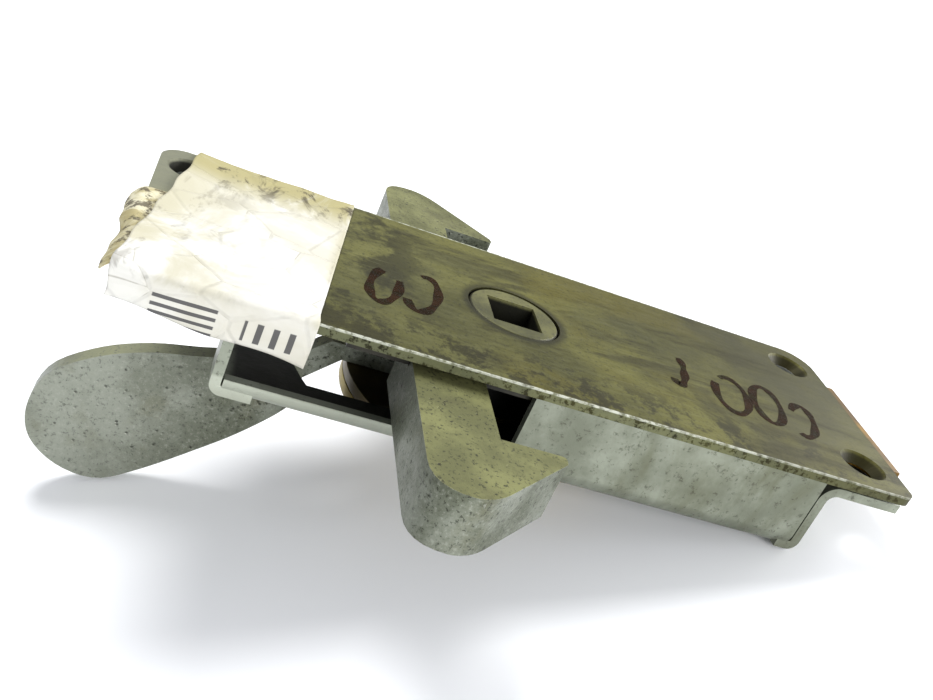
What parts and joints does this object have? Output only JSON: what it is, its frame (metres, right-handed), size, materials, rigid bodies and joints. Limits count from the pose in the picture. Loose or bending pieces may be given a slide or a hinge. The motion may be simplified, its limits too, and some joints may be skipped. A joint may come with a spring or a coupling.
{
  "type": "rim night latch",
  "caption": "Flush latch with a flat cover plate, a square spindle hub, a teardrop lever below and opposed claws that slide together in the sides of a folded sheet case",
  "frame": {"origin": "hub axis on the cover plate's outer face", "axes": "+Z points out of the cover plate, away from the door; +X runs along the plate towards the lever's blade; Y runs along the two claws"},
  "size_m": [0.1302, 0.097, 0.0484],
  "materials": {
    "plate": "tarnished olive-grey plating with scratches and dark stains",
    "sheet": "dull pale zinc sheet, stained",
    "oiled": "dark greased sheet steel",
    "cast": "pitted grey casting with khaki tarnish",
    "hub": "satin pale metal",
    "brass": "yellow passivated rim",
    "bronze": "brown tarnished rim",
    "steel": "plain bright steel",
    "shim": "amber strip",
    "paper": "creased white sticker, stained"
  },
  "bodies": {
    "housing": {"cover_plate": "plate", "case_shell": "sheet", "end_shim": "shim", "paper_label": "paper", "spring_bracket": "oiled", "floor_bush": "bronze", "bracket_rivet_1": "steel", "bracket_rivet_2": "steel", "hub_washer": "steel", "left_return_spring": "steel", "right_return_spring": "steel"},
    "hub": {"hub_follower": "hub", "drive_pin": "steel", "upper_disc": "bronze", "lower_disc": "brass", "lever_handle": "cast", "lever_rivet_1": "steel", "lever_rivet_2": "steel", "retaining_ring": "steel"},
    "slide": {"slide_yoke": "oiled", "left_claw": "cast", "left_claw_rivet_1": "steel", "left_claw_rivet_2": "steel", "left_spring_rod": "steel", "left_rod_nut": "steel", "right_claw": "cast", "right_claw_rivet_1": "steel", "right_claw_rivet_2": "steel", "right_spring_rod": "steel", "right_rod_nut": "steel"}
  },
  "joints": [
    {"name": "hub_turn", "type": "hinge", "parent": "housing", "child": "hub", "pos_m": [0, 0, 0], "axis": [0, 0, 1], "range_deg": [-25, 25]},
    {"name": "hook_slide", "type": "slide", "parent": "housing", "child": "slide", "axis": [1, 0, 0], "range_m": [-0.0072, 0.0072], "deforming": ["left_return_spring", "right_return_spring"]}
  ],
  "couplings": [
    {"joint": "hook_slide", "follows": "hub_turn", "m_per_rad": 0.016}
  ]
}
